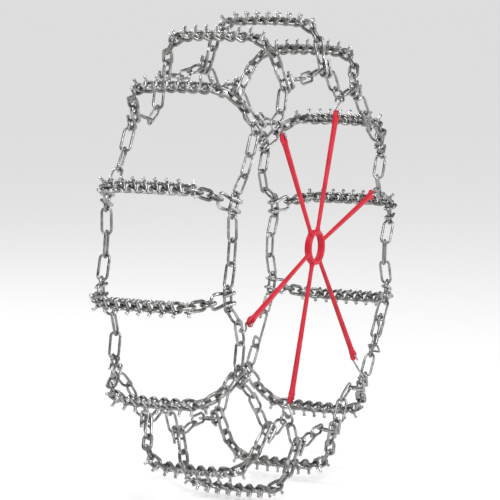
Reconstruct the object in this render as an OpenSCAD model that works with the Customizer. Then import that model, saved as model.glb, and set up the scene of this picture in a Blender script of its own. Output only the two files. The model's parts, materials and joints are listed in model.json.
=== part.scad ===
// Spider-tightened tire snow chain for a heavy truck tire, modelled as mounted.
// The axle lies along Y, the visible outer face looks toward -Y, and the origin
// is the center of the tire. Units are millimeters.

/* [Side chains] */
// Inner length of a side-chain link
side_pitch = 52; // [40:0.5:60]
// Wire diameter of a side-chain link
side_wire = 6.2; // [5:0.1:8]
// Width of a side-chain link between wire centers
side_width = 22; // [18:0.5:28]
// Radius of the links that carry the cross-chain hooks
hook_radius = 433; // [420:1:450]
// Distance of each side chain from the middle of the tire
side_y = 155.6; // [140:0.2:170]
// Lean of the side links toward the tread
side_tilt = 12; // [0:1:20]
// Play between linked wires
link_play = 0.9; // [0.5:0.1:1]
// Play between linked wires of the cross chains
bend_play = 0.7; // [0.5:0.1:1]

/* [Cross chains] */
// Wire diameter of a cross-chain link
cross_wire = 8; // [6:0.5:10]
// Width of a cross-chain link between wire centers
cross_width = 20; // [16:1:26]
// Inner length of a cross-chain link
cross_pitch = 27.7; // [24:0.5:36]
// Height of the cross chains over the middle of the tread
cross_radius = 541; // [520:0.5:560]
// Swing of a cross chain about its hooks
cross_swing = 12; // [4:1:15]

/* [V bars] */
// Stud diameter
stud_dia = 7; // [6:0.5:10]
// Stud height over the middle of the link
stud_rise = 21; // [14:0.5:24]
// Distance between the two studs' feet along the tread
stud_gap = 20; // [16:1:24]
// How much further apart the two tops are than the feet
stud_splay = 12; // [0:1:16]
// Offset between the two studs along the axle
stud_skew = 8; // [0:1:16]

/* [Cross-chain hooks] */
// Wire diameter of a cross-chain hook
hook_wire = 7.5; // [5:0.5:9]
// Radius of the hook's eye to the wire center
eye_radius = 12.5; // [9:0.5:14]
// Radius of the bend round the side link
bend_radius = 7.4; // [7:0.1:9]
// Length of the clinched tips
tip_length = 30; // [20:1:40]

/* [Rubber tightener] */
// Height of the rubber center above the axle
spider_z = 24; // [0:1:40]
// Outer diameter of the center band
hub_outer = 80; // [70:1:100]
// Inner diameter of the center band
hub_inner = 61; // [50:1:80]
// Depth of the center band
hub_depth = 17; // [12:1:24]
// Arm diameter at the center band
arm_root = 9; // [7:0.5:12]
// Arm diameter at the loop
arm_tip = 13; // [9:0.5:15]
// Wire diameter of an S-hook
s_wire = 4.5; // [3:0.5:6]
// Distance between the two bends of an S-hook
s_length = 32; // [24:1:60]
// The same distance on the long S-hook beside the lever
s_long = 76; // [32:1:80]
// Room in an S-hook's outer bend, so that it can slide off its link's wire
s_room = 1.4; // [0.5:0.1:3]

/* [Lever fastener] */
// Overlap of the two chain ends at the lever
lever_overlap = 15; // [12:0.5:18]
// Rod diameter of the lever
lever_rod = 8; // [7:0.5:10]
// Reach of the handle from the pivot
lever_reach = 76; // [60:1:80]
// Travel of the keeper ring
keeper_travel = 18; // [14:1:20]

/* [Hidden] */
$fn = 32;
// Wheel angles of the fourteen cross chains, set by hand, from +X toward +Z
hook_at = [8.5, 31.5, 58.5, 82.5, 109.5, 131.5, 158.5, 185.5, 210.5, 237.5, 259.5, 286, 309.5, 342.5];
// Bays, by the number of their first hook, whose middle link carries an S-hook
s_bay = [4, 2, 0, 7, 9];
// The hook whose own link carries the sixth S-hook
s_link = 12;
// The bay closed by the lever and by the inner hook
close_bay = 12;
count = len(hook_at);
// Half distance between the two arc centers of a side link
pin = side_pitch / 2 + side_wire / 2 - side_width / 2;
half_w = side_width / 2;
// A standing link's end wire lies this far past the arc center of the flat link it joins
stand_apex = half_w - side_wire - link_play;
// Distance that a standing link spans between two flat links' arc centers
stand_span = side_pitch + side_wire + 2 * stand_apex;
// Heights of the hook eye: its outermost wire center, its own center, and the same along the axle
eye_r = 477.85;
eye_w = (eye_r - hook_radius + bend_radius * sin(side_tilt)) / cos(side_tilt) - eye_radius;
hinge_r = hook_radius + eye_w * cos(side_tilt) - bend_radius * sin(side_tilt);
eye_y = side_y - (eye_w + eye_radius) * sin(side_tilt) - bend_radius * cos(side_tilt);
// A cross chain hangs as a row of links from the middle of the tread to the hook eye. Where it
// bends, a standing link turns about the end wire of the flat link beside it.
reach = cross_pitch / 2 + cross_wire / 2;
even = reach - (cross_wire + bend_play) / 2;
short = reach - cross_wire - bend_play;
from_in = [even, even, even, short, reach, short];
to_out = [even, even, reach, short, reach, reach - (cross_wire + hook_wire) / 2 - 0.4];
lead = [1, 3, 8, 30];
turn = [35, -65, 10, 90, 0, 90];
function lead_end(k) = k < 0 ? [even, 0]
    : lead_end(k - 1) + (from_in[k] + to_out[k]) * [cos(lead[k]), -sin(lead[k])];
// The last two slopes are those that bring the row onto the eye
left = [eye_y, eye_r - cross_radius] - lead_end(3);
len_a = from_in[4] + to_out[4];
len_b = from_in[5] + to_out[5];
left_a = atan2(-left[1], left[0]);
slope = concat(lead, [
    left_a - acos((left * left + len_a * len_a - len_b * len_b) / (2 * norm(left) * len_a)),
    left_a + acos((left * left + len_b * len_b - len_a * len_a) / (2 * norm(left) * len_b))]);

function polar(r, a) = [r * cos(a), r * sin(a)];
function side(a) = [-sin(a), cos(a)];
function heading(v) = atan2(v[1], v[0]);
function hook_c(i) = polar(hook_radius, hook_at[i % count] + (i >= count ? 360 : 0));
function pin_after(i) = hook_c(i) + pin * side(hook_at[i % count]);
function pin_before(i) = hook_c(i) - pin * side(hook_at[i % count]);
function bay_v(i) = pin_before(i + 1) - pin_after(i);
function bay_d(i) = norm(bay_v(i));
function bay_a(i) = heading(bay_v(i));
function sag(i) = sqrt(pow(stand_span, 2) - pow((bay_d(i) - 2 * pin) / 2, 2));
function inward(i) = polar(1, bay_a(i) + 90);
function mid_c(i) = (pin_after(i) + pin_before(i + 1)) / 2 + sag(i) * inward(i);
function mid_a(i) = mid_c(i) - pin * polar(1, bay_a(i));
function mid_b(i) = mid_c(i) + pin * polar(1, bay_a(i));

// The local frame of a side link: X along the link, Y outward from the axle with the
// link's lean, Z toward the tire
module on_side(c, heading) {
    translate([c[0], -side_y, c[1]]) rotate([0, -heading, 0]) rotate([-90 + side_tilt, 0, 0])
        children();
}

module half_ring(r, d, from) {
    rotate([0, 0, from]) rotate_extrude(angle = 180) translate([r, 0]) circle(d = d);
}

// A straight-sided chain link in the XY plane, long in X
module link(p, r, d) {
    for (s = [0, 180]) rotate([0, 0, s]) {
        translate([p, 0, 0]) half_ring(r, d, -90);
        translate([-p, r, 0]) rotate([0, 90, 0]) cylinder(h = 2 * p, d = d);
    }
}

module wire(p, q, d) {
    v = q - p;
    translate(p) rotate([0, acos(v[2] / norm(v)), atan2(v[1], v[0])]) cylinder(h = norm(v), d = d);
}

module flat_at(c, heading) { on_side(c, heading) link(pin, half_w, side_wire); }
module standing(a, b) {
    on_side((a + b) / 2, heading(b - a)) rotate([90, 0, 0]) link(pin, half_w, side_wire);
}

module side_flats() {
    for (i = [0 : count - 1]) {
        flat_at(hook_c(i), hook_at[i] + 90);
        if (i != close_bay) flat_at(mid_c(i), bay_a(i));
    }
}
module side_stands() {
    for (i = [0 : count - 1]) if (i != close_bay) {
        standing(pin_after(i), mid_a(i));
        standing(mid_b(i), pin_before(i + 1));
    }
}

// Fastener bay of the outer chain, measured from the lower hook link toward the upper one
bay_o = pin_after(close_bay);
bay_u = bay_v(close_bay) / bay_d(close_bay);
bay_n = polar(1, heading(bay_u) - 90);
pivot_x = bay_d(close_bay) - stand_apex - (side_pitch + side_wire) + lever_overlap;
under = half_w - stand_apex + 1.0;
seat_x = bay_d(close_bay) - sqrt(pow(stand_apex + side_pitch + side_wire, 2) - pow(under, 2));
tie_c = pivot_x - side_pitch - side_wire - stand_apex - pin;
function bay_p(x, y) = bay_o + x * bay_u + y * bay_n;
module in_bay() { on_side(bay_o, heading(bay_u)) children(); }

module outer_flat_links() {
    color("#c3c8cc") {
        side_flats();
        in_bay() translate([tie_c, 0, 0]) link(pin, half_w, side_wire);
    }
}
module outer_standing_links() {
    color("#b9bfc4") {
        side_stands();
        in_bay() {
            translate([(tie_c - pin) / 2, 0, 0]) rotate([90, 0, 0]) link(pin, half_w, side_wire);
            translate([pivot_x - side_pitch / 2 - side_wire / 2, 0, 0]) rotate([90, 0, 0])
                link(pin, half_w, side_wire);
            caught = stand_apex + side_pitch + side_wire;
            translate([bay_d(close_bay), 0, 0]) rotate([0, 0, asin(under / caught)])
                translate([-stand_apex - side_pitch / 2 - side_wire / 2, 0, 0]) rotate([90, 0, 0])
                    link(pin, half_w, side_wire);
        }
    }
}
module inner_flat_links() { color("#c3c8cc") mirror([0, 1, 0]) side_flats(); }
module inner_standing_links() {
    color("#b9bfc4") mirror([0, 1, 0]) {
        side_stands();
        standing(bay_p(0, 0), bay_p(stand_span, 0));
        standing(bay_p(bay_d(close_bay) - stand_span, 0), bay_p(bay_d(close_bay), 0));
    }
}

// The closing hook of the inner chain, with a closed eye at one end and an open one at the other
module inner_closing_hook() {
    long = bay_d(close_bay) - 2 * stand_span;
    color("#9ea4a9") mirror([0, 1, 0]) in_bay() translate([stand_span, 0, 0]) {
        half_ring(half_w, side_wire, 90);
        translate([0, half_w, 0]) rotate([0, 90, 0]) cylinder(h = long, d = side_wire);
        translate([0, -half_w, 0]) rotate([0, 90, 0]) cylinder(h = 14, d = side_wire);
        translate([14, -half_w, 0]) sphere(d = side_wire + 0.4);
        wire([14, -half_w, 0], [14, half_w, 0], side_wire - 0.4);
        translate([long, 0, 0]) half_ring(half_w, side_wire, -90);
        translate([long - 16, -half_w, 0]) rotate([0, 90, 0]) cylinder(h = 16, d = side_wire);
    }
}

// One cross-chain hook in its side link's frame
module cross_hook() {
    for (s = [-1, 1]) {
        translate([s * eye_radius, -half_w, bend_radius]) rotate([-90, 0, 0])
            cylinder(h = eye_w + half_w, d = hook_wire);
        translate([s * eye_radius, -half_w, 0]) rotate([90, 0, 90]) half_ring(bend_radius, hook_wire, 90);
        translate([s * eye_radius, -half_w, -bend_radius]) rotate([-90, 0, 0])
            cylinder(h = tip_length, d = hook_wire);
    }
    translate([0, eye_w, bend_radius]) half_ring(eye_radius, hook_wire, 0);
}
module side_hooks() {
    for (i = [0 : count - 1]) on_side(hook_c(i), hook_at[i] + 90) cross_hook();
}
module outer_cross_hooks() { color("#d2d6d9") side_hooks(); }
module inner_cross_hooks() { color("#d2d6d9") mirror([0, 1, 0]) side_hooks(); }

// A cross chain is laid out in its own frame: X along the tread, Y along the axle, Z outward
function along(k) = [cos(slope[k]), -sin(slope[k])];
function row_end(k) = k < 0 ? [even, 0] : row_end(k - 1) + (from_in[k] + to_out[k]) * along(k);
function link_mid(k) = row_end(k - 1) + from_in[k] * along(k);
module cross_link(y, z, lean, twist) {
    translate([0, y, z]) rotate([-lean, 0, 0]) rotate([0, twist, 0]) rotate([0, 0, 90])
        link(reach - cross_width / 2, cross_width / 2, cross_wire);
}
module cross_chain(i) {
    color("#b4b9bd") rotate([0, 90 - hook_at[i - 1], 0]) translate([0, 0, cross_radius]) {
        cross_link(0, 0, 0, -45);
        for (k = [0:5]) {
            c = link_mid(k);
            cross_link(c[0], c[1], slope[k], turn[k]);
            mirror([0, 1, 0]) cross_link(c[0], c[1], slope[k], turn[k]);
        }
    }
}

// A V bar lies over one link with both ends splayed up as studs
module v_bar(y, z, lean) {
    translate([0, y, z]) rotate([-lean, 0, 0]) {
        foot = [stud_gap / 2, stud_skew / 2, 7];
        top = foot + [stud_splay / 2, 0, stud_rise - 7];
        wire([-foot[0], -foot[1], 7], foot, stud_dia - 0.3);
        for (s = [1, -1]) {
            translate([s * foot[0], s * foot[1], 7]) sphere(d = stud_dia + 0.3);
            wire([s * foot[0], s * foot[1], 7], [s * top[0], s * top[1], stud_rise], stud_dia);
        }
    }
}
module v_bars(i) {
    color("#e2e4e6") rotate([0, 90 - hook_at[i - 1], 0]) translate([0, 0, cross_radius]) {
        v_bar(0, 0, 0);
        for (k = [0:3]) {
            c = link_mid(k);
            v_bar(c[0], c[1], slope[k]);
            v_bar(-c[0], c[1], -slope[k]);
        }
    }
}

// Lever: an eye on the link's end wire, a seat round the caught wire, and a cranked handle
module fastener_lever() {
    seat_r = (side_wire + lever_rod) / 2 + 0.4;
    elbow = [seat_x - 4, -under - seat_r, 0];
    crank = [seat_x - 22, -under - seat_r + 1, -8.5];
    tip = [pivot_x - lever_reach, -9, -8.5];
    eye_bore = side_wire + 2.2;
    color("#a9aeb2") in_bay() difference() {
        union() {
            translate([pivot_x, 0, -3.5]) cylinder(h = 7, d = 16);
            translate([seat_x, -under, 0]) rotate([0, 0, -90]) rotate_extrude(angle = 130)
                translate([seat_r, 0]) circle(d = lever_rod);
            translate(elbow) rotate([0, 90, 0]) cylinder(h = 4, d = lever_rod);
            translate(elbow) sphere(d = lever_rod + 0.2);
            wire(elbow, crank, lever_rod - 0.2);
            translate(crank) sphere(d = lever_rod + 0.2);
            wire(crank, tip, lever_rod - 0.2);
            translate(tip) sphere(d = lever_rod + 0.2);
        }
        translate([pivot_x, 0, -10]) cylinder(h = 20, d = eye_bore);
    }
}

// Keeper ring, drawn slid back off the handle
module fastener_keeper() {
    w = 5;
    hy = 17.8;
    z0 = -15.8;
    z1 = 6.8;
    color("#8f959a") in_bay() translate([pivot_x - 68 - keeper_travel, 0, 0]) {
        for (s = [-1, 1]) {
            translate([0, s * hy, z0]) cylinder(h = z1 - z0, d = w);
            for (z = [z0, z1]) translate([0, s * hy, z]) sphere(d = w + 0.2);
        }
        for (z = [z0, z1]) wire([0, -hy, z], [0, hy, z], w - 0.1);
    }
}

// Rubber tightener
function s_wire_c(k) = k < 5
    ? mid_c(s_bay[k]) - half_w * cos(side_tilt) * polar(1, bay_a(s_bay[k]) - 90)
    : hook_c(s_link) - half_w * cos(side_tilt) * polar(1, hook_at[s_link]);
spider_c = [0, spider_z];
function arm_v(k) = s_wire_c(k) - spider_c;
arm_y = -side_y - half_w * sin(side_tilt);
// The arm's frame: X outward along the arm, Y along the axle toward the tire
module on_arm(k) {
    translate([spider_c[0], arm_y, spider_c[1]]) rotate([0, -heading(arm_v(k)), 0]) children();
}
function arm_reach(k) = norm(arm_v(k));
loop_r = 8;
loop_d = 9;
function s_span(k) = k == 5 ? s_long : s_length;

module spider_hub() {
    c = 3;
    ro = hub_outer / 2;
    ri = hub_inner / 2;
    h = hub_depth / 2;
    color("#c8102a") translate([spider_c[0], arm_y, spider_c[1]]) rotate([90, 0, 0]) rotate_extrude($fn = 64)
        polygon([[ri, -h + c], [ri + c, -h], [ro - c, -h], [ro, -h + c],
                 [ro, h - c], [ro - c, h], [ri + c, h], [ri, h - c]]);
}
module spider_arm(k) {
    bar = arm_reach(k) - s_span(k);
    color("#c8102a") on_arm(k) {
        translate([hub_outer / 2 - 2, 0, 0]) rotate([0, 90, 0])
            cylinder(h = bar - 2 * loop_r - hub_outer / 2 + 2, d1 = arm_root, d2 = arm_tip);
        translate([bar - loop_r, 0, 0]) rotate([90, 0, 0]) rotate_extrude() translate([loop_r, 0])
            circle(d = loop_d);
    }
}
// Both bends run a little past half a turn, so the shank leaves each one without a corner
module s_hook(k) {
    ra = (side_wire + s_wire) / 2 + 0.5 + s_room;
    rb = (loop_d + s_wire) / 2 + 0.25;
    bar = arm_reach(k) - s_span(k);
    out = arm_reach(k) - s_room;
    cross = asin((ra + rb) / (out - bar));
    shank = (out - bar) * cos(cross);
    color("#cfd3d6") on_arm(k) {
        translate([out, 0, 0]) rotate([0, 0, -90 - cross]) rotate_extrude(angle = 180 + cross)
            translate([ra, 0]) circle(d = s_wire);
        translate([bar, 0, 0]) rotate([0, 0, 90 - cross]) rotate_extrude(angle = 180 + cross)
            translate([rb, 0]) circle(d = s_wire);
        translate([bar + rb * sin(cross), rb * cos(cross), 0]) rotate([0, 0, -cross])
            translate([-0.8, 0, 0]) rotate([0, 90, 0]) cylinder(h = shank + 1.6, d = s_wire - 0.3);
        translate([out - 7, ra, 0]) rotate([0, 90, 0]) cylinder(h = 7.8, d = s_wire - 0.3);
        translate([bar - 0.8, -rb, 0]) rotate([0, 90, 0]) cylinder(h = 7.8, d = s_wire - 0.3);
    }
}

outer_flat_links();
outer_standing_links();
outer_cross_hooks();
inner_flat_links();
inner_standing_links();
inner_cross_hooks();
inner_closing_hook();
fastener_lever();
fastener_keeper();
spider_hub();
for (k = [1:6]) spider_arm(k - 1);
for (k = [1:6]) s_hook(k - 1);
for (i = [1:14]) cross_chain(i);
for (i = [1:14]) v_bars(i);
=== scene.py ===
import json
import math

import bpy
import numpy as np
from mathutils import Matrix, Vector


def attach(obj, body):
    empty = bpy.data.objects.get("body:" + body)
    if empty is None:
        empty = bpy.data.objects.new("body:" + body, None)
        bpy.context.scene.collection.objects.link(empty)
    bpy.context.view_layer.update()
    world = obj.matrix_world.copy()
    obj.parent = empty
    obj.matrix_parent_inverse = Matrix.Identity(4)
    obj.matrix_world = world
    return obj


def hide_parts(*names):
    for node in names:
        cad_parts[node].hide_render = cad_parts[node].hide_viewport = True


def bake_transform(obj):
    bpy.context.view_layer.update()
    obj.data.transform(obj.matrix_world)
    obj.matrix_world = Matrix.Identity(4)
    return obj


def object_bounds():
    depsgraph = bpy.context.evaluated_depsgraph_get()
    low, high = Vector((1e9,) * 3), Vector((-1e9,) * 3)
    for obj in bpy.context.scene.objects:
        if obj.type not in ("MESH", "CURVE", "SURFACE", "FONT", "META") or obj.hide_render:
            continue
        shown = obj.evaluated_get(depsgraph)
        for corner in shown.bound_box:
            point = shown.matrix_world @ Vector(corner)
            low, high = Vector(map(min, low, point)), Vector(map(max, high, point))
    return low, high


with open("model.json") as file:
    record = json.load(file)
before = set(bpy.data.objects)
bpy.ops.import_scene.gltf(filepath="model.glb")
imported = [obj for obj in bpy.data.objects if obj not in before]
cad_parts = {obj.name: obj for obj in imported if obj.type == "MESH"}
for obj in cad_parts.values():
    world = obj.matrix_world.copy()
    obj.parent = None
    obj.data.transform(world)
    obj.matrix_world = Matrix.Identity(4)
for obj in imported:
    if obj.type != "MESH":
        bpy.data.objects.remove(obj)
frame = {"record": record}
cad_box = [list(map(float, corner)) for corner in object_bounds()]
record = frame["record"]
joints = {j["name"]: j for j in record["behaviour"]["joints"]}
MM = 0.001
CHAINS = 14

# ---------------------------------------------------------------- dimensions, in millimetres
# side links: wire, half width between wire centres, half distance between end-bend centres
SIDE_WIRE, SIDE_HALF, SIDE_PIN = 6.2, 11.0, 18.1
SIDE_Y, SIDE_R, TILT = 155.6, 433.0, math.radians(12)
PLAY = 0.9
# from the centre of a flat link's end bend to the end wire of the standing link in it
STAND_APEX = SIDE_HALF - SIDE_WIRE - PLAY
STAND_HALF = SIDE_PIN + SIDE_HALF
STAND_SPAN = 2 * STAND_HALF + 2 * STAND_APEX
# cross links, the radius of the middle one, and the slopes in degrees of the next four
CROSS_WIRE, CROSS_HALF, CROSS_PIN, CROSS_PLAY = 8.0, 10.0, 7.85, 0.7
CROSS_R, LEAD, TWIST_RUN = 541.0, (1, 3, 8, 30), 14.5
# V bars
STUD_D, STUD_GAP, STUD_SPLAY, STUD_SKEW, STUD_TOP, BAR_Z = 7.0, 20.0, 12.0, 8.0, 21.0, 7.0
# cross-chain hooks, whose legs go from the tip's half width to the bend's and flare to the eye's
HOOK_WIRE, EYE_R, BEND_R, TIP, EYE_TOP = 7.5, 12.5, 7.4, 33.0, 477.85
TIP_X, LEG_X, EYE_X = 10.2, 11.2, 16.0
EYE_W = (EYE_TOP - SIDE_R + BEND_R * math.sin(TILT)) / math.cos(TILT) - EYE_R
EYE_Y = SIDE_Y - (EYE_W + EYE_R) * math.sin(TILT) - BEND_R * math.cos(TILT)
# S-hooks, rubber band and arms
S_WIRE, S_LENGTH, S_LONG, S_ROOM, S_TAIL = 4.5, 32.0, 76.0, 1.4, 7.0
SPIDER_Z, HUB_OUT, HUB_IN, HUB_DEPTH = 24.0, 80.0, 61.0, 17.0
LOOP_R, LOOP_D, ARM_ROOT, ARM_TIP = 8.0, 9.0, 9.0, 13.0
# the bay that the lever closes, the bays that hold an S-hook, and the hook link that holds the sixth
CLOSE_BAY, S_BAYS, S_LINK = 12, (4, 2, 0, 7, 9), 12
# lever and keeper ring
ROD_D, LEVER_EYE_R, LEVER_EYE_WIRE, LEVER_EYE_WIDE, HANDLE_RISE = 8.0, 6.1, 1.9, 1.84, 8.5
KEEPER_WIRE, KEEPER_HALF, KEEPER_LOW, KEEPER_HIGH, KEEPER_BACK = 5.0, 17.8, -15.8, 6.8, 86.0

# the wheel angle of each cross chain, from its hinge in the record
HOOK_AT = []
for number in range(1, CHAINS + 1):
    hinge = joints[f"cross_swing_{number}"]["pos_m"]
    HOOK_AT.append(math.atan2(hinge[2], hinge[0]) % math.tau)


# ---------------------------------------------------------------- small vector helpers
def rot_x(a):
    c, s = math.cos(a), math.sin(a)
    return np.array([[1, 0, 0], [0, c, -s], [0, s, c]])


def rot_y(a):
    c, s = math.cos(a), math.sin(a)
    return np.array([[c, 0, s], [0, 1, 0], [-s, 0, c]])


def rot_z(a):
    c, s = math.cos(a), math.sin(a)
    return np.array([[c, -s, 0], [s, c, 0], [0, 0, 1]])


def place(points, turn=None, shift=(0, 0, 0)):
    points = np.asarray(points, float)
    if turn is not None:
        points = points @ turn.T
    return points + np.asarray(shift, float)


def polar(r, a):
    return np.array([r * math.cos(a), r * math.sin(a)])


def arc(centre, radius, a0, a1, steps, plane="xy"):
    """Points of an arc in a plane through centre."""
    a = np.linspace(a0, a1, steps)
    out = np.tile(np.asarray(centre, float), (steps, 1))
    i, j = {"xy": (0, 1), "yz": (1, 2), "xz": (0, 2)}[plane]
    out[:, i] += radius * np.cos(a)
    out[:, j] += radius * np.sin(a)
    return out


# ---------------------------------------------------------------- mesh building
class Mesh:
    """Gathers tubes and lathe shapes, in millimetres, into one Blender object."""

    def __init__(self):
        self.verts, self.faces, self.slots, self.count = [], [], [], 0

    def add(self, verts, faces, slot=0):
        self.verts.append(np.asarray(verts, float))
        self.faces.append([[i + self.count for i in f] for f in faces])
        self.slots.append(slot)
        self.count += len(verts)

    def add_placed(self, shape, turn=None, shift=(0, 0, 0), slot=0):
        self.add(place(shape[0], turn, shift), shape[1], slot)

    def add_mirrored(self, other):
        for v, f in zip(other.verts, other.faces):
            v = v * [1, -1, 1]
            self.verts.append(v)
            self.faces.append([[i + self.count for i in face[::-1]] for face in f])
        self.slots += other.slots
        self.count += other.count

    def build(self, name, *materials):
        data = bpy.data.meshes.new(name)
        verts = np.concatenate(self.verts) * MM
        faces = [f for group in self.faces for f in group]
        data.from_pydata(verts.tolist(), [], faces)
        data.polygons.foreach_set("use_smooth", [True] * len(data.polygons))
        slots = [s for s, group in zip(self.slots, self.faces) for _ in group]
        data.polygons.foreach_set("material_index", slots)
        for material in materials:
            data.materials.append(material)
        data.update()
        piece = bpy.data.objects.new(name, data)
        bpy.context.scene.collection.objects.link(piece)
        return piece


def frames_along(path, closed):
    """Tangents and a pair of turning-free normals along a path."""
    if closed:
        t = np.roll(path, -1, 0) - np.roll(path, 1, 0)
    else:
        t = np.gradient(path, axis=0)
    t /= np.linalg.norm(t, axis=1)[:, None]
    start = np.array([0.0, 0.0, 1.0])
    if abs(t[0] @ start) > 0.9:
        start = np.array([1.0, 0.0, 0.0])
    n = np.zeros_like(path)
    n[0] = start - (start @ t[0]) * t[0]
    n[0] /= np.linalg.norm(n[0])
    for i in range(1, len(path)):
        v = n[i - 1] - (n[i - 1] @ t[i]) * t[i]
        n[i] = v / np.linalg.norm(v)
    if closed:
        v = n[-1] - (n[-1] @ t[0]) * t[0]
        v /= np.linalg.norm(v)
        off = math.atan2(np.cross(n[0], v) @ t[0], n[0] @ v)
        for i in range(len(path)):
            a = -off * i / len(path)
            b = np.cross(t[i], n[i])
            n[i] = math.cos(a) * n[i] + math.sin(a) * b
    return t, n, np.cross(t, n)


def tube(path, radius, sides=12, closed=False, dome=0.16, squash=(1, 1)):
    """A round bar along a path; dome rounds both ends by that share of the radius."""
    path = np.asarray(path, float)
    r = np.broadcast_to(np.asarray(radius, float), (len(path),)).copy()
    t, n, b = frames_along(path, closed)
    if not closed:
        ends = []
        for s, end in ((-1, 0), (1, -1)):
            steps = [(math.cos(q), math.sin(q)) for q in np.linspace(0, math.pi / 2, 5)[1:]]
            outward = s * t[end] * r[end] * dome
            ends.append([(path[end] + outward * (up - 1), r[end] * (1 - dome + dome * across))
                         for across, up in steps])
        first = path[0] + t[0] * r[0] * dome
        last = path[-1] - t[-1] * r[-1] * dome
        path = np.vstack([[first], path[1:-1], [last]])
        head = ends[0][::-1]
        path = np.vstack([[p for p, _ in head], path, [p for p, _ in ends[1]]])
        r = np.concatenate([[q for _, q in head], r, [q for _, q in ends[1]]])
        k = len(head)
        t, n, b = (np.vstack([np.repeat(v[:1], k, 0), v, np.repeat(v[-1:], k, 0)]) for v in (t, n, b))
    a = np.linspace(0, math.tau, sides, endpoint=False)
    wide, flat = squash
    ring = (np.cos(a)[None, :, None] * n[:, None, :] * wide
            + np.sin(a)[None, :, None] * b[:, None, :] * flat)
    verts = (path[:, None, :] + ring * r[:, None, None]).reshape(-1, 3)
    rows = len(path)
    faces = []
    for i in range(rows if closed else rows - 1):
        j = (i + 1) % rows
        for k in range(sides):
            m = (k + 1) % sides
            faces.append([i * sides + k, i * sides + m, j * sides + m, j * sides + k])
    if not closed:
        faces.append(list(range(sides))[::-1])
        faces.append([(rows - 1) * sides + k for k in range(sides)])
    return verts, faces


def lathe(profile, steps=64):
    """A closed profile of (radius, height) turned about Z."""
    profile = np.asarray(profile, float)
    a = np.linspace(0, math.tau, steps, endpoint=False)
    verts = np.stack([np.outer(np.cos(a), profile[:, 0]), np.outer(np.sin(a), profile[:, 0]),
                      np.tile(profile[:, 1], (steps, 1))], -1).reshape(-1, 3)
    m = len(profile)
    faces = []
    for i in range(steps):
        j = (i + 1) % steps
        for k in range(m):
            q = (k + 1) % m
            faces.append([i * m + k, j * m + k, j * m + q, i * m + q])
    return verts, faces


def fillet(points, radius, steps=6):
    """A polyline with its inner corners rounded."""
    points = [np.asarray(p, float) for p in points]
    out = [points[0]]
    for a, b, c in zip(points, points[1:], points[2:]):
        u, v = a - b, c - b
        lu, lv = np.linalg.norm(u), np.linalg.norm(v)
        u, v = u / lu, v / lv
        half = math.acos(np.clip(u @ v, -1, 1)) / 2
        back = min(radius / math.tan(half), lu * 0.49, lv * 0.49)
        p, q = b + u * back, b + v * back
        for s in np.linspace(0, 1, steps):
            out.append((1 - s) ** 2 * p + 2 * s * (1 - s) * b + s * s * q)
    out.append(points[-1])
    return np.array(out)


def dense(points, step):
    """Points added along the straight runs of a polyline."""
    out = [points[0]]
    for a, b in zip(points, points[1:]):
        k = max(1, int(np.linalg.norm(b - a) / step))
        out += [a + (b - a) * i / k for i in range(1, k + 1)]
    return np.array(out)


# ---------------------------------------------------------------- materials
def new_material(name):
    m = bpy.data.materials.new(name)
    m.use_nodes = True
    nodes, links = m.node_tree.nodes, m.node_tree.links
    return m, nodes, links, nodes["Principled BSDF"]


def noise(nodes, links, coords, scale, detail=4.0, rough=0.55):
    n = nodes.new("ShaderNodeTexNoise")
    n.inputs["Scale"].default_value = scale
    n.inputs["Detail"].default_value = detail
    n.inputs["Roughness"].default_value = rough
    links.new(coords, n.inputs["Vector"])
    return n.outputs["Fac"]


def ramp(nodes, links, value, stops):
    r = nodes.new("ShaderNodeValToRGB")
    while len(r.color_ramp.elements) < len(stops):
        r.color_ramp.elements.new(0.5)
    for e, (at, colour) in zip(r.color_ramp.elements, stops):
        e.position = at
        e.color = (*colour, 1)
    links.new(value, r.inputs["Fac"])
    return r.outputs["Color"]


def bump(nodes, links, height, strength, distance, below=None):
    b = nodes.new("ShaderNodeBump")
    b.inputs["Strength"].default_value = strength
    b.inputs["Distance"].default_value = distance
    links.new(height, b.inputs["Height"])
    if below is not None:
        links.new(below, b.inputs["Normal"])
    return b.outputs["Normal"]


def steel(name, dark, mid, light, rough):
    """Zinc-plated steel: mottled plating, dull smudges, a darker film and fine drawing marks."""
    m, nodes, links, out = new_material(name)
    coords = nodes.new("ShaderNodeTexCoord").outputs["Object"]
    cloud = noise(nodes, links, coords, 42, 5, 0.6)
    tone = ramp(nodes, links, cloud, [(0.30, dark), (0.50, mid), (0.68, light)])
    links.new(tone, out.inputs["Base Color"])
    film = noise(nodes, links, coords, 160, 4, 0.6)
    spread = ramp(nodes, links, film, [(0.32, (rough - 0.08,) * 3), (0.66, (rough + 0.16,) * 3)])
    links.new(spread, out.inputs["Roughness"])
    out.inputs["Metallic"].default_value = 1.0
    pits = noise(nodes, links, coords, 520, 3, 0.6)
    low = bump(nodes, links, pits, 0.22, 0.0004)
    dents = noise(nodes, links, coords, 95, 2, 0.5)
    links.new(bump(nodes, links, dents, 0.25, 0.0012, low), out.inputs["Normal"])
    return m


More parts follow.
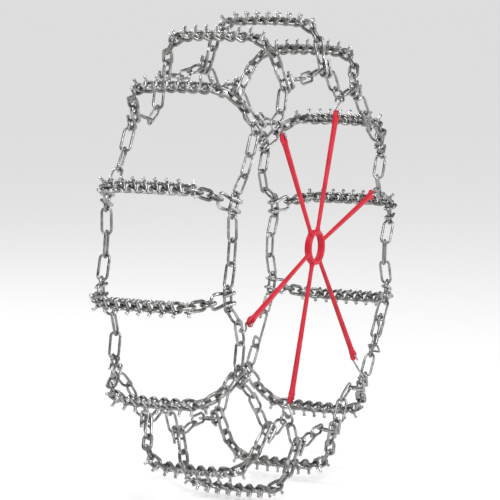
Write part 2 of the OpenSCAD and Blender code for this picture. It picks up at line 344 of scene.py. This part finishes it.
chain_steel = steel("zinc_plated_chain", (0.15, 0.15, 0.155), (0.31, 0.31, 0.315),
                    (0.50, 0.50, 0.505), 0.28)
stand_steel = steel("zinc_plated_standing", (0.13, 0.13, 0.135), (0.28, 0.28, 0.285),
                    (0.46, 0.46, 0.465), 0.30)
cross_steel = steel("hardened_cross_chain", (0.12, 0.118, 0.115), (0.26, 0.256, 0.25),
                    (0.44, 0.435, 0.43), 0.30)
hook_steel = steel("bright_zinc_hook", (0.20, 0.20, 0.205), (0.38, 0.38, 0.385),
                   (0.58, 0.58, 0.585), 0.25)
stud_steel = steel("hard_alloy_stud", (0.22, 0.22, 0.22), (0.42, 0.42, 0.42),
                   (0.62, 0.62, 0.62), 0.27)
worn_steel = steel("worn_stud_end", (0.66, 0.66, 0.66), (0.82, 0.82, 0.82),
                   (0.94, 0.94, 0.94), 0.30)
lever_steel = steel("forged_lever", (0.13, 0.13, 0.135), (0.26, 0.26, 0.265),
                    (0.42, 0.42, 0.425), 0.32)


def red_rubber():
    m, nodes, links, out = new_material("moulded_red_rubber")
    coords = nodes.new("ShaderNodeTexCoord").outputs["Object"]
    cloud = noise(nodes, links, coords, 30, 5, 0.6)
    tone = ramp(nodes, links, cloud, [(0.25, (0.42, 0.006, 0.020)), (0.5, (0.56, 0.012, 0.032)),
                                      (0.8, (0.66, 0.028, 0.055))])
    links.new(tone, out.inputs["Base Color"])
    film = noise(nodes, links, coords, 210, 4, 0.6)
    spread = ramp(nodes, links, film, [(0.3, (0.42,) * 3), (0.7, (0.60,) * 3)])
    links.new(spread, out.inputs["Roughness"])
    out.inputs["Specular IOR Level"].default_value = 0.32
    grain = noise(nodes, links, coords, 900, 3, 0.6)
    low = bump(nodes, links, grain, 0.10, 0.0003)
    wave = noise(nodes, links, coords, 60, 2, 0.5)
    links.new(bump(nodes, links, wave, 0.10, 0.001, low), out.inputs["Normal"])
    return m


rubber = red_rubber()


# ---------------------------------------------------------------- side chains
def side(a):
    return np.array([-math.sin(a), math.cos(a)])


def hook_c(i):
    return polar(SIDE_R, HOOK_AT[i % CHAINS])


def pin_after(i):
    return hook_c(i) + SIDE_PIN * side(HOOK_AT[i % CHAINS])


def pin_before(i):
    return hook_c(i) - SIDE_PIN * side(HOOK_AT[i % CHAINS])


def heading(v):
    return math.atan2(v[1], v[0])


def bay(i):
    """A bay's two pins, its chord and the chord's heading."""
    a, b = pin_after(i), pin_before(i + 1)
    return a, b, np.linalg.norm(b - a), heading(b - a)


def bay_middle(i):
    a, b, chord, turn = bay(i)
    sag = math.sqrt(STAND_SPAN ** 2 - ((chord - 2 * SIDE_PIN) / 2) ** 2)
    return (a + b) / 2 + sag * polar(1, turn + math.pi / 2), turn


def side_frame(c, turn):
    """Turn and shift of a side link: X along it, Y outward with its lean, Z to the tire."""
    return rot_y(-turn) @ rot_x(-math.pi / 2 + TILT), (c[0], -SIDE_Y, c[1])


def side_link():
    """A straight-sided link in the XY plane with a weld swelling on one leg."""
    x = np.linspace(SIDE_PIN, -SIDE_PIN, 9)[1:-1]
    top = np.stack([x, np.full_like(x, SIDE_HALF), 0 * x], -1)
    path = np.vstack([
        arc((SIDE_PIN, 0, 0), SIDE_HALF, -math.pi / 2, math.pi / 2, 13), top,
        arc((-SIDE_PIN, 0, 0), SIDE_HALF, math.pi / 2, 3 * math.pi / 2, 13),
        place(top, rot_z(math.pi))])
    near_weld = np.exp(-(path[:, 0] / (0.30 * SIDE_WIRE)) ** 2) * (path[:, 1] > 0)
    return tube(path, SIDE_WIRE / 2 * (1 + 0.13 * near_weld), 14, closed=True)


FLAT = side_link()
STAND = (place(FLAT[0], rot_x(math.pi / 2)), FLAT[1])


def add_standing(mesh, a, b):
    turn, shift = side_frame((a + b) / 2, heading(b - a))
    mesh.add_placed(STAND, turn, shift)


def plain_side_chain():
    flats, stands = Mesh(), Mesh()
    for i in range(CHAINS):
        flats.add_placed(FLAT, *side_frame(hook_c(i), HOOK_AT[i] + math.pi / 2))
        if i == CLOSE_BAY:
            continue
        middle, turn = bay_middle(i)
        flats.add_placed(FLAT, *side_frame(middle, turn))
        half = SIDE_PIN * polar(1, turn)
        add_standing(stands, pin_after(i), middle - half)
        add_standing(stands, middle + half, pin_before(i + 1))
    return flats, stands


# the bay that the lever and the closing hook close: its two ends, chord, heading and frame
BAY_O, BAY_E, BAY_D, BAY_TURN = bay(CLOSE_BAY)
BAY = side_frame(BAY_O, BAY_TURN)
LEVER_OVERLAP, SEAT_CLEAR = 15, 1.0
PIVOT_X = BAY_D - STAND_APEX - 2 * STAND_HALF + LEVER_OVERLAP
UNDER = SIDE_HALF - STAND_APEX + SEAT_CLEAR
REACH = STAND_APEX + 2 * STAND_HALF
SEAT_X = BAY_D - math.sqrt(REACH ** 2 - UNDER ** 2)
TIE_C = PIVOT_X - 2 * STAND_HALF - STAND_APEX - SIDE_PIN

outer_flats, outer_stands = plain_side_chain()
inner_flats, inner_stands = Mesh(), Mesh()
inner_flats.add_mirrored(outer_flats)
inner_stands.add_mirrored(outer_stands)


def add_in_bay(mesh, shape, turn=None, shift=(0, 0, 0)):
    mesh.add_placed((place(shape[0], turn, shift), shape[1]), *BAY)


add_in_bay(outer_flats, FLAT, None, (TIE_C, 0, 0))
add_in_bay(outer_stands, STAND, None, ((TIE_C - SIDE_PIN) / 2, 0, 0))
add_in_bay(outer_stands, STAND, None, (PIVOT_X - STAND_HALF, 0, 0))
drop = rot_z(math.asin(UNDER / REACH))
far = place([[-STAND_APEX - STAND_HALF, 0, 0]], drop)[0] + [BAY_D, 0, 0]
add_in_bay(outer_stands, STAND, drop, far)

bay_dir = (BAY_E - BAY_O) / BAY_D
inner_bay = Mesh()
add_standing(inner_bay, BAY_O, BAY_O + STAND_SPAN * bay_dir)
add_standing(inner_bay, BAY_E - STAND_SPAN * bay_dir, BAY_E)
inner_stands.add_mirrored(inner_bay)


def side_piece(name, mesh, material, node):
    piece = mesh.build(name, material)
    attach(piece, "frame")
    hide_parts(node)


side_piece("outer_flat_chain", outer_flats, chain_steel, "outer_flat_links")
side_piece("outer_standing_chain", outer_stands, stand_steel, "outer_standing_links")
side_piece("inner_flat_chain", inner_flats, chain_steel, "inner_flat_links")
side_piece("inner_standing_chain", inner_stands, stand_steel, "inner_standing_links")


# ---------------------------------------------------------------- cross-chain hooks
def hook_path():
    """One wire: tip, over the front, round the side link, up the back and round the eye."""
    front = [[TIP_X + (LEG_X - TIP_X) * q, -SIDE_HALF + TIP * (1 - q), -BEND_R + 0.9 * (1 - q) ** 3]
             for q in np.linspace(0, 1, 8)[:-1]]
    bend = [[LEG_X, -SIDE_HALF - BEND_R * math.sin(q), -BEND_R * math.cos(q)]
            for q in np.linspace(0, math.pi, 13)]
    run = EYE_W + SIDE_HALF
    back = [[LEG_X + (EYE_X - LEG_X) * (3 * q * q - 2 * q ** 3), -SIDE_HALF + run * q, BEND_R]
            for q in np.linspace(0, 1, 14)[1:-1]]
    eye = [[EYE_X * math.cos(q), EYE_W + EYE_R * math.sin(q), BEND_R]
           for q in np.linspace(0, math.pi / 2, 12)]
    half = np.array(front + bend + back + eye)
    return np.vstack([half, (half * [-1, 1, 1])[::-1][1:]])


HOOK = tube(hook_path(), HOOK_WIRE / 2, 16)
outer_hooks = Mesh()
for i in range(CHAINS):
    outer_hooks.add_placed(HOOK, *side_frame(hook_c(i), HOOK_AT[i] + math.pi / 2))
inner_hooks = Mesh()
inner_hooks.add_mirrored(outer_hooks)
side_piece("outer_chain_hooks", outer_hooks, hook_steel, "outer_cross_hooks")
side_piece("inner_chain_hooks", inner_hooks, hook_steel, "inner_cross_hooks")


# ---------------------------------------------------------------- cross chains
def twist_link(a0, a1):
    """A link along Y whose two ends are turned by a0 and a1 about its length."""
    base = np.vstack([
        arc((CROSS_PIN, 0, 0), CROSS_HALF, -math.pi / 2, math.pi / 2, 13),
        [[x, CROSS_HALF, 0] for x in np.linspace(CROSS_PIN, -CROSS_PIN, 9)[1:-1]],
        arc((-CROSS_PIN, 0, 0), CROSS_HALF, math.pi / 2, 3 * math.pi / 2, 13),
        [[x, -CROSS_HALF, 0] for x in np.linspace(-CROSS_PIN, CROSS_PIN, 9)[1:-1]]])
    s = np.clip((base[:, 0] + TWIST_RUN) / (2 * TWIST_RUN), 0, 1)
    s = s * s * (3 - 2 * s)
    turn = a0 + (a1 - a0) * s
    out = np.stack([base[:, 1] * np.cos(turn), base[:, 0], -base[:, 1] * np.sin(turn)], -1)
    return tube(out, CROSS_WIRE / 2, 14, closed=True)


EIGHTH = math.pi / 4
MIDDLE_LINK = twist_link(-EIGHTH, EIGHTH)
TO_FLAT, FROM_FLAT = twist_link(-EIGHTH, 0), twist_link(0, EIGHTH)
FLAT_CROSS, STANDING_CROSS = twist_link(0, 0), twist_link(2 * EIGHTH, 2 * EIGHTH)


def v_bar():
    """A bar welded over one link: both ends splay up into round-headed studs on spread feet."""
    foot = np.array([STUD_GAP / 2, STUD_SKEW / 2, BAR_Z])
    top = foot + [STUD_SPLAY / 2, 0, STUD_TOP - BAR_Z]
    lean = (top - foot) / np.linalg.norm(top - foot)
    swap = np.array([-1, -1, 1])
    path = dense(fillet([top, foot, foot * swap, top * swap], 4.0, 6), 3.2)
    bar = tube(path, STUD_D / 2 - 0.25, 12, dome=0.38)
    feet, heads = Mesh(), Mesh()
    for s in (1, swap):
        legs = [foot * s + [0, y, z] for y, z in ((-8.0, -4.4), (-2.9, 1.9), (2.9, 1.9), (8.0, -4.4))]
        feet.add(*tube(dense(fillet(legs, 4, 5), 2.5), 2.9, 10, dome=0.5))
        head = [(top + lean * along) * s for along in (-5.2, -3.6, -1.8, 0.2)]
        heads.add(*tube(head, [STUD_D / 2 + more for more in (-0.2, 0.5, 0.9, 0.7)], 14, dome=0.85))
    return bar, feet, heads


V_BAR, V_FEET, V_HEADS = v_bar()
# from a cross link's centre to where it meets the next one, toward the middle and toward the hook
REACH_C = CROSS_PIN + CROSS_HALF
EVEN, SHORT = REACH_C - (CROSS_WIRE + CROSS_PLAY) / 2, REACH_C - CROSS_WIRE - CROSS_PLAY
FROM_IN = (EVEN, EVEN, EVEN, SHORT, REACH_C, SHORT)
TO_OUT = (EVEN, EVEN, REACH_C, SHORT, REACH_C, REACH_C - (CROSS_WIRE + HOOK_WIRE) / 2 - 0.4)


def row_of_links():
    """The centre and slope of each link beside the middle one, going out to the hook eye."""
    end, slopes, out = np.array([EVEN, 0.0]), [math.radians(a) for a in LEAD], []
    for k in range(6):
        if k == 4:
            left = np.array([EYE_Y, EYE_TOP - CROSS_R]) - end
            a, b, c = FROM_IN[4] + TO_OUT[4], FROM_IN[5] + TO_OUT[5], np.linalg.norm(left)
            lean = math.atan2(-left[1], left[0])
            slopes += [lean - math.acos((c * c + a * a - b * b) / (2 * c * a)),
                       lean + math.acos((c * c + b * b - a * a) / (2 * c * b))]
        along = np.array([math.cos(slopes[k]), -math.sin(slopes[k])])
        out.append((end + FROM_IN[k] * along, slopes[k]))
        end = end + (FROM_IN[k] + TO_OUT[k]) * along
    return out


ROW = row_of_links()


def add_v_bar(bars, turn=None, shift=(0, 0, 0)):
    bars.add_placed(V_BAR, turn, shift)
    for mesh, slot in ((V_FEET, 0), (V_HEADS, 1)):
        for v, f, start in zip(mesh.verts, mesh.faces, np.cumsum([0] + [len(v) for v in mesh.verts])):
            bars.add_placed((v, [[i - start for i in face] for face in f]), turn, shift, slot)


def cross_chain(number):
    links, bars = Mesh(), Mesh()
    links.add(*MIDDLE_LINK)
    add_v_bar(bars)
    for k, (c, a) in enumerate(ROW):
        for s in (1, -1):
            shape = (MIDDLE_LINK, MIDDLE_LINK, TO_FLAT if s > 0 else FROM_FLAT,
                     STANDING_CROSS, FLAT_CROSS, STANDING_CROSS)[k]
            turn, shift = rot_x(-s * a), (0, s * c[0], c[1])
            links.add_placed(shape, turn, shift)
            if k < 4:
                add_v_bar(bars, turn, shift)
    turn = rot_y(math.pi / 2 - HOOK_AT[number - 1])
    for mesh, name, material, node, slot in (
            (links, "twist_chain", (cross_steel,), "cross_chain", "chain_steel"),
            (bars, "studs", (stud_steel, worn_steel), "v_bars", "stud_steel")):
        mesh.verts = [place(v + [0, 0, CROSS_R], turn) for v in mesh.verts]
        piece = mesh.build(f"{name}_{number}", *material)
        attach(piece, f"cross_{number}")
        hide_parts(f"{node}_{number}")


for number in range(1, CHAINS + 1):
    cross_chain(number)


# ---------------------------------------------------------------- lever, keeper and closing hook
def lever_mesh():
    """The eye round its link's end wire, the seat under the far link, and the cranked handle."""
    mesh = Mesh()
    seat_r = (SIDE_WIRE + ROD_D) / 2 + 0.4
    ring = arc((PIVOT_X, 0, 0), LEVER_EYE_R, 0, math.tau, 29)[:-1]
    add_in_bay(mesh, tube(ring, LEVER_EYE_WIRE, 14, closed=True, squash=(LEVER_EYE_WIDE, 1.0)))
    seat = arc((SEAT_X, -UNDER, 0), seat_r, math.radians(38), -math.pi / 2, 16)
    elbow = np.array([SEAT_X, -UNDER - seat_r, 0])
    crank = np.array([SEAT_X - 22, -UNDER - seat_r + 1, -HANDLE_RISE])
    tip = np.array([PIVOT_X - 76, -9, -HANDLE_RISE])
    run = fillet([elbow, elbow + [-4, 0, 0], crank, tip + [-4, 0, 0]], 9, 8)
    path = dense(np.vstack([seat, run[1:]]), 4)
    s = np.linspace(0, 1, len(path))
    r = ROD_D / 2 * (1 - 0.06 * s + 0.10 * np.exp(-((s - 0.98) / 0.05) ** 2))
    add_in_bay(mesh, tube(path, r, 16, dome=0.9))
    return mesh


def rounded_ring(hy, z0, z1, corner):
    """A rounded rectangle in the YZ plane."""
    pts = []
    for cy, cz, a0 in ((hy - corner, z1 - corner, 0), (-hy + corner, z1 - corner, 90),
                       (-hy + corner, z0 + corner, 180), (hy - corner, z0 + corner, 270)):
        pts.append(arc((0, cy, cz), corner, math.radians(a0), math.radians(a0 + 90), 5, "yz"))
    return np.vstack(pts)


lever = lever_mesh().build("lever_handle", lever_steel)
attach(lever, "lever")
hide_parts("fastener_lever")

keeper_mesh = Mesh()
keeper_path = rounded_ring(KEEPER_HALF, KEEPER_LOW, KEEPER_HIGH, 3.0)
keeper_at = (PIVOT_X - KEEPER_BACK, 0, 0)
add_in_bay(keeper_mesh, tube(keeper_path, KEEPER_WIRE / 2, 12, closed=True), None, keeper_at)
keeper = keeper_mesh.build("keeper_ring", lever_steel)
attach(keeper, "keeper")
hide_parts("fastener_keeper")

# the closing hook: a long loop whose end bends back over the first link's wire
long = BAY_D - 2 * STAND_SPAN
loop = np.vstack([
    arc((0, 0, 0), SIDE_HALF, math.pi / 2, 3 * math.pi / 2, 13),
    fillet([(0, -SIDE_HALF, 0), (14, -SIDE_HALF, 0), (14, SIDE_HALF - 5, 0)], 4)[1:]])
body = np.vstack([loop[::-1], [[x, SIDE_HALF, 0] for x in np.linspace(0, long, 12)[1:-1]],
                  arc((long, 0, 0), SIDE_HALF, math.pi / 2, -math.pi / 2, 13),
                  [[x, -SIDE_HALF, 0] for x in np.linspace(long, long - 16, 5)[1:]]])
shape = tube(body, SIDE_WIRE / 2, 14, dome=0.3)
outer_closing = Mesh()
add_in_bay(outer_closing, shape, None, (STAND_SPAN, 0, 0))
closing = Mesh()
closing.add_mirrored(outer_closing)
side_piece("closing_hook", closing, lever_steel, "inner_closing_hook")


# ---------------------------------------------------------------- rubber tightener and S-hooks
SPIDER = np.array([0.0, SPIDER_Z])
ARM_Y = -SIDE_Y - SIDE_HALF * math.sin(TILT)


def wire_point(k):
    """The middle of the side-chain wire that S-hook k holds."""
    if k < 5:
        middle, turn = bay_middle(S_BAYS[k])
        return middle - SIDE_HALF * math.cos(TILT) * polar(1, turn - math.pi / 2)
    return hook_c(S_LINK) - SIDE_HALF * math.cos(TILT) * polar(1, HOOK_AT[S_LINK])


def arm_frame(k):
    """Turn and shift of an arm, X outward along it, and its S-hook's reach from the band's middle."""
    v = wire_point(k) - SPIDER
    return rot_y(-heading(v)), (SPIDER[0], ARM_Y, SPIDER[1]), np.linalg.norm(v)


def s_hook_mesh(k):
    """A bend round the side link's wire, a leaning shank and a bend through the arm's loop."""
    turn, shift, out = arm_frame(k)
    bar = out - (S_LONG if k == 5 else S_LENGTH)
    out -= S_ROOM
    ra, rb = (SIDE_WIRE + S_WIRE) / 2 + 0.5 + S_ROOM, (LOOP_D + S_WIRE) / 2 + 0.25
    lean = math.asin((ra + rb) / (out - bar))
    outer = arc((out, 0, 0), ra, math.pi / 2, -math.pi / 2 - lean, 17)
    inner = arc((bar, 0, 0), rb, math.pi / 2 - lean, 3 * math.pi / 2, 17)
    shank = [outer[-1] + (inner[0] - outer[-1]) * s for s in np.linspace(0, 1, 10)[1:-1]]
    path = np.vstack([[[out - S_TAIL, ra, 0], [out - 4, ra, 0]], outer, shank, inner,
                      [[bar + 4, -rb, 0], [bar + S_TAIL, -rb, 0]]])
    mesh = Mesh()
    mesh.add_placed(tube(path, S_WIRE / 2, 12, dome=0.25), turn, shift)
    return mesh


def arm_mesh(k):
    """A round arm that flares into the band and swells into its loop."""
    turn, shift, out = arm_frame(k)
    bar = out - (S_LONG if k == 5 else S_LENGTH)
    end = bar - 2 * LOOP_R + 1
    start = HUB_OUT / 2 - 5
    x = np.concatenate([np.linspace(start, start + 26, 10), np.linspace(start + 26, end - 30, 16)[1:],
                        np.linspace(end - 30, end, 10)[1:]])
    s = (x - start) / (end - start)
    r = (ARM_ROOT + (ARM_TIP - ARM_ROOT) * s) / 2
    r = r + 3.2 * np.exp(-((x - start) / 8.5) ** 2) + 1.5 * np.exp(-((x - end) / 10) ** 2)
    path = np.stack([x, 0 * x, 0 * x], -1)
    mesh = Mesh()
    mesh.add_placed(tube(path, r, 20), turn, shift)
    ring = arc((bar - LOOP_R, 0, 0), LOOP_R, 0, math.tau, 37, "xz")[:-1]
    mesh.add_placed(tube(ring, LOOP_D / 2, 16, closed=True), turn, shift)
    return mesh, turn, shift, start, end


for k in range(6):
    s_hook = s_hook_mesh(k).build(f"s_hook_wire_{k + 1}", hook_steel)
    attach(s_hook, f"s_hook_body_{k + 1}")
    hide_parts(f"s_hook_{k + 1}")
    mesh, turn, shift, start, end = arm_mesh(k)
    arm = mesh.build(f"rubber_arm_{k + 1}", rubber)
    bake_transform(arm)
    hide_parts(f"spider_arm_{k + 1}")


def band_profile():
    """The band's section as (radius, height), with rounded corners."""
    ro, ri, h, c = HUB_OUT / 2, HUB_IN / 2, HUB_DEPTH / 2, 3.6
    pts = []
    for x, z, a0 in ((ro - c, h - c, 0), (ri + c, h - c, 90),
                     (ri + c, -h + c, 180), (ro - c, -h + c, 270)):
        for q in np.radians(np.linspace(a0, a0 + 90, 6)):
            pts.append((x + c * math.cos(q), z + c * math.sin(q)))
    return pts


band = Mesh()
band.add_placed(lathe(band_profile(), 96), rot_x(math.pi / 2), (SPIDER[0], ARM_Y, SPIDER[1]))
hub = band.build("rubber_band", rubber)
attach(hub, "frame")
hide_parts("spider_hub")

# ---------------------------------------------------------------- floor, light and camera
FLOOR_HALF, FLOOR_GAP = 60.0, 0.004
floor_z = cad_box[0][2] - FLOOR_GAP
floor_data = bpy.data.meshes.new("floor")
corners = [(x * FLOOR_HALF, y * FLOOR_HALF, floor_z) for x, y in ((-1, -1), (1, -1), (1, 1), (-1, 1))]
floor_data.from_pydata(corners, [], [(0, 1, 2, 3)])
floor = bpy.data.objects.new("floor", floor_data)
bpy.context.scene.collection.objects.link(floor)
pale, nodes, links, out = new_material("pale_floor")
out.inputs["Base Color"].default_value = (0.55, 0.55, 0.55, 1)
out.inputs["Roughness"].default_value = 0.9
out.inputs["Specular IOR Level"].default_value = 0.2
out.inputs["Emission Color"].default_value = (1, 1, 1, 1)
out.inputs["Emission Strength"].default_value = 0.50
floor_data.materials.append(pale)

# a studio that is pale near the horizon and overhead and darker between, so bright metal has contrast
world = bpy.data.worlds.new("studio")
bpy.context.scene.world = world
world.use_nodes = True
wn, wl = world.node_tree.nodes, world.node_tree.links
direction = wn.new("ShaderNodeTexCoord").outputs["Generated"]
split = wn.new("ShaderNodeSeparateXYZ")
wl.new(direction, split.inputs["Vector"])
sky = ramp(wn, wl, split.outputs["Z"], [(0.0, (0.84,) * 3), (0.07, (0.82,) * 3), (0.15, (0.13,) * 3),
                                        (0.60, (0.16,) * 3), (0.90, (0.70,) * 3)])
wl.new(sky, wn["Background"].inputs["Color"])
wn["Background"].inputs["Strength"].default_value = 1.0
bpy.context.scene.view_settings.view_transform = "Standard"


def softbox(name, at, aim, size, power):
    data = bpy.data.lights.new(name, "AREA")
    data.shape = "RECTANGLE"
    data.size, data.size_y = size
    data.energy = power
    light = bpy.data.objects.new(name, data)
    bpy.context.scene.collection.objects.link(light)
    light.location = at
    light.rotation_euler = (Vector(aim) - Vector(at)).to_track_quat("-Z", "Y").to_euler()


softbox("key", (-3.2, -2.6, 3.2), (0, 0, 0), (1.5, 1.5), 170)
softbox("side", (2.6, -3.4, 1.2), (0, 0, 0), (1.1, 1.9), 60)
softbox("rim", (0.5, 3.2, 2.8), (0, 0, 0), (2.0, 1.2), 80)

AZ, EL, DIST, ROLL = math.radians(-63.327), math.radians(7.147), 5.922, math.radians(-0.121)
SENSOR, LENS, SHIFT_X, SHIFT_Y = 36.0, 183.715, -0.0079, 0.0074
back = np.array([math.sin(AZ) * math.cos(EL), -math.cos(AZ) * math.cos(EL), math.sin(EL)])
camera_data = bpy.data.cameras.new("camera")
camera_data.sensor_width = SENSOR
camera_data.lens = LENS
camera_data.shift_x = SHIFT_X
camera_data.shift_y = SHIFT_Y
camera_data.clip_end = 100
camera = bpy.data.objects.new("camera", camera_data)
bpy.context.scene.collection.objects.link(camera)
camera.location = tuple(back * DIST)
camera.rotation_euler = (math.pi / 2 - EL, ROLL, AZ)
bpy.context.scene.camera = camera
